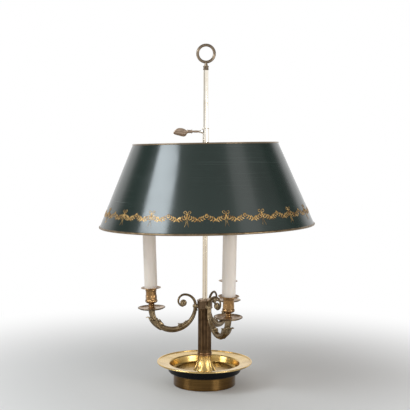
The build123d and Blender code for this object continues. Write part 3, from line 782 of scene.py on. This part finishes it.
def arm_shape(side):
    """Whole casting of one arm that points to +X."""
    tip_root, tip_length, tip_swing, tip_width = 6.4, 4.6, 1.8, 2.6  # curled tips of the sheath
    leaf_tip_place, leaf_tip_root, leaf_tip_length = 53.0, 7.2, 2.8  # tip of the acanthus
    shape = Shape()
    stations = arm_line()

    def station_at(run):
        return min(stations, key=lambda station: abs(station[4] - run))

    shape.grid([section(x, z, tx, tz, lambda turn, run=run: arm_radius(run, turn), 60)
                for x, z, tx, tz, run in stations], caps=True)
    for turn in ring_angles(sheath_leaves):
        station = station_at(arm_length - mouth_at(turn))
        shape.join(curled_tip(station, turn, tip_root, tip_length - tip_swing * cos(turn), tip_width))
    station = station_at(leaf_tip_place)
    shape.join(curled_tip(station, 0.0, leaf_tip_root, leaf_tip_length, tip_width))
    swing = Matrix.Translation((arm_root, 0, 0)) @ turned_z(volute_turns[side])
    shape.join(volute().moved(swing @ Matrix.Translation((-arm_root, 0, 0))))
    shape.join(arm_boss())
    return shape


def make_arms():
    for side, azimuth in arm_azimuths.items():
        shape = arm_shape(side).moved(turned_z(azimuth))
        piece = new_piece(f"cast_arm_{side}", shape, "arm_bronze", "base")
        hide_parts(f"arm_{side}")


# ---- candle cups
def at_candle(shape, azimuth):
    """A shape drawn on the Z axis, moved to the outer end of an arm."""
    place = (turned_z(azimuth) @ Matrix.Translation((tip_place[0], 0, tip_place[1]))
             @ Matrix.Rotation(radians(candle_lean), 4, "Y"))
    return shape.moved(place)


cup_profile = (  # radius, height over the pan's socket
    (7.4, 1.25), (7.5, 2.0), (6.0, 2.7), (5.2, 3.6), (5.0, 5.2), (5.6, 6.0), (6.3, 6.6), (6.3, 7.4),
    (5.4, 8.0), (5.3, 9.2), (6.6, 10.2), (8.6, 10.9), (10.1, 12.4), (10.7, 14.3), (10.5, 16.0),
    (9.9, 17.0), (9.7, 18.0), (9.8, 22.0), (9.8, 28.0), (9.9, 33.0), (10.5, 33.8), (10.5, 34.9),
    (10.0, 35.6), (10.2, 36.8), (11.6, 37.2), (13.0, 37.3), (16.0, 37.9), (18.3, 38.6),
    (18.6, 39.2), (18.4, 39.8), (17.8, 39.9), (15.6, 39.2), (13.0, 38.75), (12.0, 38.7))


def cup_shape():
    """Chased cup: turned foot and neck, a body with eight leaves, and a wide thin rim."""
    count, foot, full, taper = 8, 10.5, 12.5, 1.6  # of the leaves: number, heights, thin edge
    notch, tall, bluntness = 17.5, 8.5, 0.6  # height of the cuts, and of the leaves above them
    thick, swell, rib_height, rib_width = 0.32, 0.12, 0.3, 0.1
    belly, belly_width, gadroon = 14.2, 1.6, 0.2

    def leaves(radius, height, angle):
        wave = cos(count * angle)
        top = notch + tall * (0.5 + 0.5 * wave) ** bluntness
        leaf = smooth_step(top - height, 0.0, taper) * smooth_step(height, foot, full)
        rib = rib_height * hump(wave, 1.0, rib_width)
        bulge = gadroon * cos(2 * count * angle) * hump(height, belly, belly_width)
        return radius + leaf * (thick + rib + swell * wave) + bulge

    return lathe(curve_profile(cup_profile, 4), 96, leaves)


def make_cups():
    for side, azimuth in arm_azimuths.items():
        piece = new_piece(f"chased_cup_{side}", at_candle(cup_shape(), azimuth), "cup_gilt", "base")
        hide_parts(f"candle_cup_{side}")


# ---- rod, carrier and key
turned_edge = 30  # degrees from which a turned piece's edges stay sharp
pinhole = 0.02  # radius at the middle of a closed end
rod_chamfer, shoulder_chamfer = 0.3, 0.4
rolled_edge = ((1.5, 0.0), (1.2, 0.5), (0.7, 0.7), (0.2, 0.5), (0.0, 0.0))  # below the top, outward
trumpet_profile = (  # radius, distance from the axis
    (4.5, 5.1), (4.3, 5.9), (3.4, 7.2), (2.8, 8.6), (2.5, 10.0), (2.7, 11.1), (2.5, 11.4), (1.8, 11.4))


def make_rod():
    """Finely turned rod with its spigot in the capital."""
    narrow = rod_radius - rod_chamfer
    profile = [(pinhole, rod_foot), (spigot_radius, rod_foot), (spigot_radius, capital_top),
               (narrow, capital_top), (rod_radius, capital_top + rod_chamfer),
               (rod_radius, rod_top - rod_chamfer), (narrow, rod_top), (pinhole, rod_top)]
    piece = new_piece("turned_rod", lathe(profile, 96), "rod_brass", "base", sharp=turned_edge)
    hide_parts("shade_rod")


def on_key_axis(shape):
    """A shape drawn with Z as the distance from the lamp's axis and X as up, moved to the key."""
    return shape.moved(Matrix.Translation((0, 0, key_height)) @ Matrix.Rotation(-pi / 2, 4, "Y"))


def make_carrier():
    """Tube that slides on the rod: shoulder, rolled upper edge and the trumpet boss of the key."""
    foot, top, cut = carrier_foot, carrier_top, shoulder_chamfer
    shoulder_top = foot + shoulder_height
    shape = lathe([
        (carrier_bore, foot), (shoulder_radius - cut, foot), (shoulder_radius, foot + cut),
        (shoulder_radius, shoulder_top - cut), (shoulder_radius - cut, shoulder_top),
        (carrier_radius + cut, shoulder_top), (carrier_radius, shoulder_top + cut),
        *[(carrier_radius + outward, top - below) for below, outward in rolled_edge],
        (carrier_bore, top), (carrier_bore, foot)], 72)
    shape.join(on_key_axis(lathe(curve_profile(trumpet_profile, 4), 32)))
    piece = new_piece("turned_carrier", shape, "rod_brass", "carrier", sharp=turned_edge)
    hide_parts("carrier_sleeve")


key_leaf_outline = (  # share of the leaf's length, top, underside
    (0.03, 2.0, -5.4), (0.10, 3.2, -7.9), (0.22, 4.9, -9.4), (0.36, 6.0, -9.1), (0.55, 6.3, -7.9),
    (0.72, 5.2, -6.8), (0.86, 2.6, -5.8), (0.96, -0.6, -4.4), (1.0, -2.2, -2.8))
leaf_stalk = (key_block_end - 1.2, 1.7, -1.7)
key_profile = (  # radius, distance from the axis: shank, then the ringed block
    (1.75, 4.9), (1.75, 12.0), (1.8, 14.0), (2.0, 16.5), (2.1, 18.5), (1.9, 21.0), (1.8, 24.0),
    (2.9, 24.6), (3.7, 25.1), (3.7, 25.8), (2.9, 26.4), (2.8, 28.0), (3.0, 29.3), (2.8, 30.6),
    (2.9, 32.1), (3.6, 32.6), (3.6, 33.3), (2.6, 33.9), (0.1, 34.3))


def leaf_rise(share, flat):
    """Half the leaf's thickness: thinner towards its tip, its middle groove and its veins."""
    thickness, groove_depth, groove_width = 1.6, 0.42, 0.09
    veins, slant, vein_width, vein_depth = 5.2, 1.6, 0.16, 0.2
    vein = hump(abs((share * veins - abs(flat) * slant) % 1 - 0.5), 0.0, vein_width)
    vein *= min(abs(flat) * 3, 1)
    groove = groove_depth * hump(flat, 0.0, groove_width)
    return thickness * (1 - 0.5 * share) * (1 - groove - vein_depth * vein)


def leaf_shape():
    """Blunt veined leaf at the key's end."""
    length = key_reach - key_block_end
    outline = [leaf_stalk] + [(key_block_end + share * length, top, underside)
                              for share, top, underside in key_leaf_outline]
    rows = []
    for distance, top, underside in curve_profile(outline, 4):
        share = min(max((distance - key_block_end) / length, 0.0), 1.0)
        spine, half = (top + underside) / 2, (top - underside) / 2
        row = []
        for angle in ring_angles(40):
            flat = cos(angle)
            across = leaf_rise(share, flat) * sin(angle) * (1 - 0.35 * flat * flat)
            row.append((spine + half * flat, across, distance))
        rows.append(row)
    shape = Shape()
    shape.grid(rows, caps=True)
    return shape


def make_key():
    """Threaded shank with a slight swell, ringed block and leaf."""
    shape = lathe(curve_profile(key_profile, 3), 24)
    shape.join(leaf_shape())
    piece = new_piece("leaf_key", on_key_axis(shape), "key_bronze", "key")
    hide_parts("shade_key")


# ---- garland on the shade
sheet_length = hypot(shade_bottom_radius - shade_top_radius, shade_height)
slope_sin = (shade_bottom_radius - shade_top_radius) / sheet_length
slope_cos = shade_height / sheet_length
tilt = Matrix.Translation((0, 0, hub_middle)) @ Matrix.Rotation(radians(-hang_tilt), 4, "Y")
bow_count = 18
bow_height = 34.6  # of the knots above the shade's lower edge, along the sheet
gilt_lift = 0.12  # of the gold above the lacquer
leaf_crest, ribbon_crest, dot_crest = 0.28, 0.25, 0.4  # of the ornaments' middles above their edges
leaf_half = ((0.28, 0.42), (0.62, 0.46))  # shares of a leaf's length and width
bow_loop, loop_width = (7.6, 5.2, radians(48)), 0.8  # reach, height and lean of a loop
bow_tails = ((2.6, 9.0, 1.2), (2.0, 21.0, 0.5))  # spread, drop, width
bow_dots = ((0, 1.4), (-3.0, 1.1))  # place up the sheet from the knot, radius
swag_sag, swag_pairs = 6.0, 8
rise_at_bow, rise_at_rosette = -3.2, -2.4  # of a swag's ends, from the knots' height
swag_gap = 0.6  # degrees between a swag's end and its bow


class Gilding(Shape):
    """Flat ornaments drawn in mm on the unrolled sheet: x to the right, y up, about a place."""

    def at(self, azimuth, rise):
        self.azimuth, self.rise = azimuth, rise
        self.radius = shade_bottom_radius - rise * slope_sin
        return self

    def place(self, x, y, lift):
        """A point of the drawing on the shade's outside, lift mm off its surface."""
        rise = self.rise + y
        radius = shade_bottom_radius - rise * slope_sin + lift * slope_cos
        height = -shade_drop + rise * slope_cos + lift * slope_sin
        angle = radians(self.azimuth + degrees(x / self.radius))
        return tilt @ Vector((radius * cos(angle), radius * sin(angle), height))

    def leaf(self, x, y, angle, length, width):
        """Pointed leaf, raised along its middle."""
        along, across = (cos(angle), sin(angle)), (-sin(angle), cos(angle))
        near, far = leaf_half
        outline = [(0.0, 0.0), near, far, (1.0, 0.0), (far[0], -far[1]), (near[0], -near[1])]
        rim = [self.place(x + along[0] * a * length + across[0] * b * width,
                          y + along[1] * a * length + across[1] * b * width, gilt_lift)
               for a, b in outline]
        crest = [self.place(x + along[0] * a * length, y + along[1] * a * length,
                            gilt_lift + leaf_crest) for a in (0.3, 0.65)]
        self.add(rim + crest, [(0, 6, 1), (1, 6, 7, 2), (2, 7, 3), (3, 7, 4), (4, 7, 6, 5), (5, 6, 0)])

    def ribbon(self, line, width):
        """Band along a line of (x, y), narrower at its ends, raised along its middle."""
        rows = []
        count = len(line)
        for index, (x, y) in enumerate(line):
            before, after = line[max(index - 1, 0)], line[min(index + 1, count - 1)]
            angle = atan2(after[1] - before[1], after[0] - before[0])
            half = 0.5 * width * (0.55 + 0.45 * sin(pi * index / (count - 1)))
            dx, dy = -sin(angle) * half, cos(angle) * half
            rows.append([self.place(x + dx, y + dy, gilt_lift),
                         self.place(x, y, gilt_lift + ribbon_crest),
                         self.place(x - dx, y - dy, gilt_lift)])
        self.grid(rows, ring=False)

    def dot(self, x, y, radius):
        """Low cone of twelve faces."""
        corners = 12
        rim = [self.place(x + radius * cos(a), y + radius * sin(a), gilt_lift)
               for a in ring_angles(corners)]
        self.add(rim + [self.place(x, y, gilt_lift + dot_crest)],
                 [(index, (index + 1) % corners, corners) for index in range(corners)])


def loop_line(side, reach, tall, lean):
    """Teardrop loop of a bow, from the knot and back to it, along a lean from the level."""
    steps, slimness = 14, 3.2
    line = []
    for index in range(steps + 1):
        angle = 2 * pi * index / steps
        x = reach * (1 - cos(angle)) / 2
        y = tall * sin(angle) * (1 - cos(angle)) / slimness
        line.append((side * (x * cos(lean) - y * sin(lean)), x * sin(lean) + y * cos(lean)))
    return line


def bow(gilding, azimuth):
    """Bow with two loops, two broad tails and two thin ones."""
    root_x, root_y, sway, bends = 0.5, -0.8, 0.9, 2.6 * pi  # of the tails
    gilding.at(azimuth, bow_height)
    shares = [step / 12 for step in range(13)]
    for side in (-1, 1):
        gilding.ribbon(loop_line(side, *bow_loop), loop_width)
        for spread, drop, width in bow_tails:
            gilding.ribbon([(side * (root_x + spread * share + sway * sin(bends * share) * share),
                             root_y - drop * share) for share in shares], width)
    for rise, radius in bow_dots:
        gilding.dot(0, rise, radius)


def swag(gilding, start, end, start_rise, end_rise):
    """Laurel swag between two azimuths: leaf pairs along a hanging line, parted at its middle."""
    length, width, spread, overlap = 5.2, 1.8, radians(50), 0.8
    berry, low_berry, low_leaf = 0.5, 1.3, 3.4
    gilding.at((start + end) / 2, bow_height)
    half = radians(end - start) / 2 * gilding.radius
    for index in range(swag_pairs):
        share = (index + 0.5) / swag_pairs
        x = -half + 2 * half * share
        y = start_rise + (end_rise - start_rise) * share - swag_sag * 4 * share * (1 - share)
        slope = (end_rise - start_rise - swag_sag * 4 * (1 - 2 * share)) / (2 * half)
        way = atan2(slope, 1) + (pi if x < 0 else 0)
        size = 0.8 + 0.45 * sin(pi * share)  # largest in the swag's middle
        for side in (-1, 1):
            gilding.leaf(x - overlap * cos(way), y - overlap * sin(way), way + side * spread,
                         length * size, width * size)
        gilding.dot(x, y, berry * size)
    bottom = (start_rise + end_rise) / 2 - swag_sag
    gilding.dot(0, bottom, low_berry)
    gilding.leaf(0, bottom, -pi / 2, low_leaf, width)


def rosette(gilding, azimuth):
    rise, middle_dot, petal_dot, reach = -0.4, 1.0, 0.6, 1.6
    gilding.at(azimuth, bow_height).dot(0, rise, middle_dot)
    for angle in ring_angles(5):
        gilding.dot(reach * cos(angle), rise + reach * sin(angle), petal_dot)


def make_garland():
    """Bows round the shade with a swag on either side of each rosette between them."""
    gilding = Gilding()
    step = 360 / bow_count
    for index in range(bow_count):
        azimuth = -90 + step * (index + 0.5)
        button_place = azimuth + step / 2
        bow(gilding, azimuth)
        swag(gilding, azimuth + swag_gap, button_place, rise_at_bow, rise_at_rosette)
        swag(gilding, button_place, azimuth + step - swag_gap, rise_at_rosette, rise_at_bow)
        rosette(gilding, button_place)
    new_piece("shade_garland", gilding, "bead_brass", "shade", finish=garland_gold)


# ---- stage, lights and camera
surround_levels = (  # light from above the horizon: degrees to the camera's left, level
    (-180, 1.0), (-143, 1.0), (-133, 0.35), (-125, 0.1), (-108, 0.1), (-98, 0.28), (-80, 0.42),
    (-66, 0.8), (-50, 1.0), (-38, 0.8), (-28, 0.56), (0, 0.52), (25, 0.56), (40, 0.7), (92, 0.35),
    (100, 0.14), (116, 0.12), (126, 0.4), (134, 0.95), (138, 1.0), (180, 1.0))
horizon_levels = (  # the same near the horizon
    (-180, 1.0), (40, 1.0), (58, 0.42), (100, 0.42), (118, 1.0), (180, 1.0))
sky_levels = (  # sine of the elevation, level
    (0.0, 1.0), (0.15, 1.0), (0.6, 0.7), (0.72, 0.6), (0.85, 0.2), (1.0, 0.15))
horizon_end, surround_start = 0.08, 0.28  # sines of the elevations between which they change over
surround_gain = 1.5
light_target = Vector((0, 0, 0.37))  # metres
softboxes = (  # name, azimuth and elevation, distance, width and height, radiance, tint if any
    ("key_left", 61, 32, 1.3, 0.66, 0.4, 9.5, (0.85, 0.94, 1.0)),
    ("low_left", 68, -3, 1.3, 0.44, 0.24, 8.0),
    ("fill_right", -43, 0, 1.3, 0.56, 0.4, 7.2),
    ("high_right", -48, 36, 1.3, 0.5, 0.4, 0.45),
    ("top", 0, 78, 1.4, 1.0, 1.0, 0.6))


def make_floor():
    """Plain pale floor that keeps the lamp's shadow and turns white further off."""
    half = 6.0
    fade_start, fade_end = 0.22, 0.85  # distances from the lamp's axis
    mesh = bpy.data.meshes.new("floor")
    mesh.from_pydata([(-half, -half, 0), (half, -half, 0), (half, half, 0), (-half, half, 0)], [],
                     [(0, 1, 2, 3)])
    floor = placed("floor", mesh)
    finish = Finish("floor", roughness=0.7)
    finish.paint(finish.blend(finish.noise(3, 2.0), colour(212, 211, 209), colour(218, 217, 215)))
    finish.feed("Specular IOR Level", 0.2)
    seen = finish.seen_rays("Is Camera Ray", "Is Glossy Ray", "Is Transmission Ray")
    far = finish.remap(finish.radius(), fade_start, fade_end, smooth=True)
    mix = finish.node("MixShader")
    finish.put(mix, 0, finish.math("MULTIPLY", seen, far))
    finish.put(mix, 1, finish.shader.outputs["BSDF"])
    finish.put(mix, 2, finish.node("Emission").outputs["Emission"])
    finish.put(finish.tree.nodes["Material Output"], "Surface", mix.outputs["Shader"])
    mesh.materials.append(finish.material)


def make_world():
    """White room with dark screens on both sides and a dim ceiling; the camera sees plain white."""
    world = bpy.data.worlds.new("studio")
    bpy.context.scene.world = world
    world.use_nodes = True
    graph = Graph(world.node_tree)
    way = graph.node("SeparateXYZ")
    graph.put(way, "Vector", graph.node("TexCoord").outputs["Generated"])
    x, y, z = way.outputs
    left = graph.math("ARCTAN2", graph.math("MULTIPLY", x, -1.0), graph.math("MULTIPLY", y, -1.0))
    turn = graph.remap(left, -pi, pi)

    def round_level(stops):
        return graph.levels(turn, [((angle + 180) / 360, level) for angle, level in stops])

    lit = graph.math("MULTIPLY", round_level(surround_levels), graph.levels(z, sky_levels))
    lit = graph.math("MINIMUM", graph.math("MULTIPLY", lit, surround_gain), 1.0)
    lit = graph.between(graph.remap(z, horizon_end, surround_start), round_level(horizon_levels), lit)
    background = graph.tree.nodes["Background"]
    graph.put(background, "Color", (1, 1, 1, 1))
    graph.put(background, "Strength", graph.between(graph.seen_rays("Is Camera Ray"), lit, 1.0))


def softbox(name, azimuth, elevation, distance, width, height, radiance, tint=(1, 1, 1)):
    """Area light that faces the lamp; azimuth is 0 on the camera's side and grows to the left."""
    a, e = radians(azimuth), radians(elevation)
    away = Vector((-sin(a) * cos(e), -cos(a) * cos(e), sin(e)))
    light = bpy.data.lights.new(name, "AREA")
    light.shape = "RECTANGLE"
    light.size, light.size_y = width, height
    light.energy = radiance * pi * width * height
    light.color = tint
    lamp = placed(name, light)
    lamp.location = light_target + away * distance
    lamp.rotation_euler = (-away).to_track_quat("-Z", "Y").to_euler()
    lamp.visible_camera = False


def make_camera():
    """Camera of the photograph: 1.63 m from the lamp's axis, looking slightly down."""
    distance, height = 1.6259, 0.4383
    pitch, roll, yaw = 3.684, 0.283, 0.019
    image_width, focal = 410, 884.8
    data = bpy.data.cameras.new("camera")
    data.sensor_width = 36.0
    data.lens = focal * data.sensor_width / image_width
    camera = placed("camera", data)
    camera.location = (0, -distance, height)
    turn = turned_z(yaw) @ Matrix.Rotation(radians(90 - pitch), 4, "X") @ turned_z(roll)
    camera.rotation_euler = turn.to_euler()
    bpy.context.scene.camera = camera


dress_nodes()
make_arms()
make_cups()
make_rod()
make_carrier()
make_key()
make_garland()
make_floor()
make_world()
for row in softboxes:
    softbox(*row)
make_camera()
bpy.context.scene.view_settings.view_transform = "Standard"
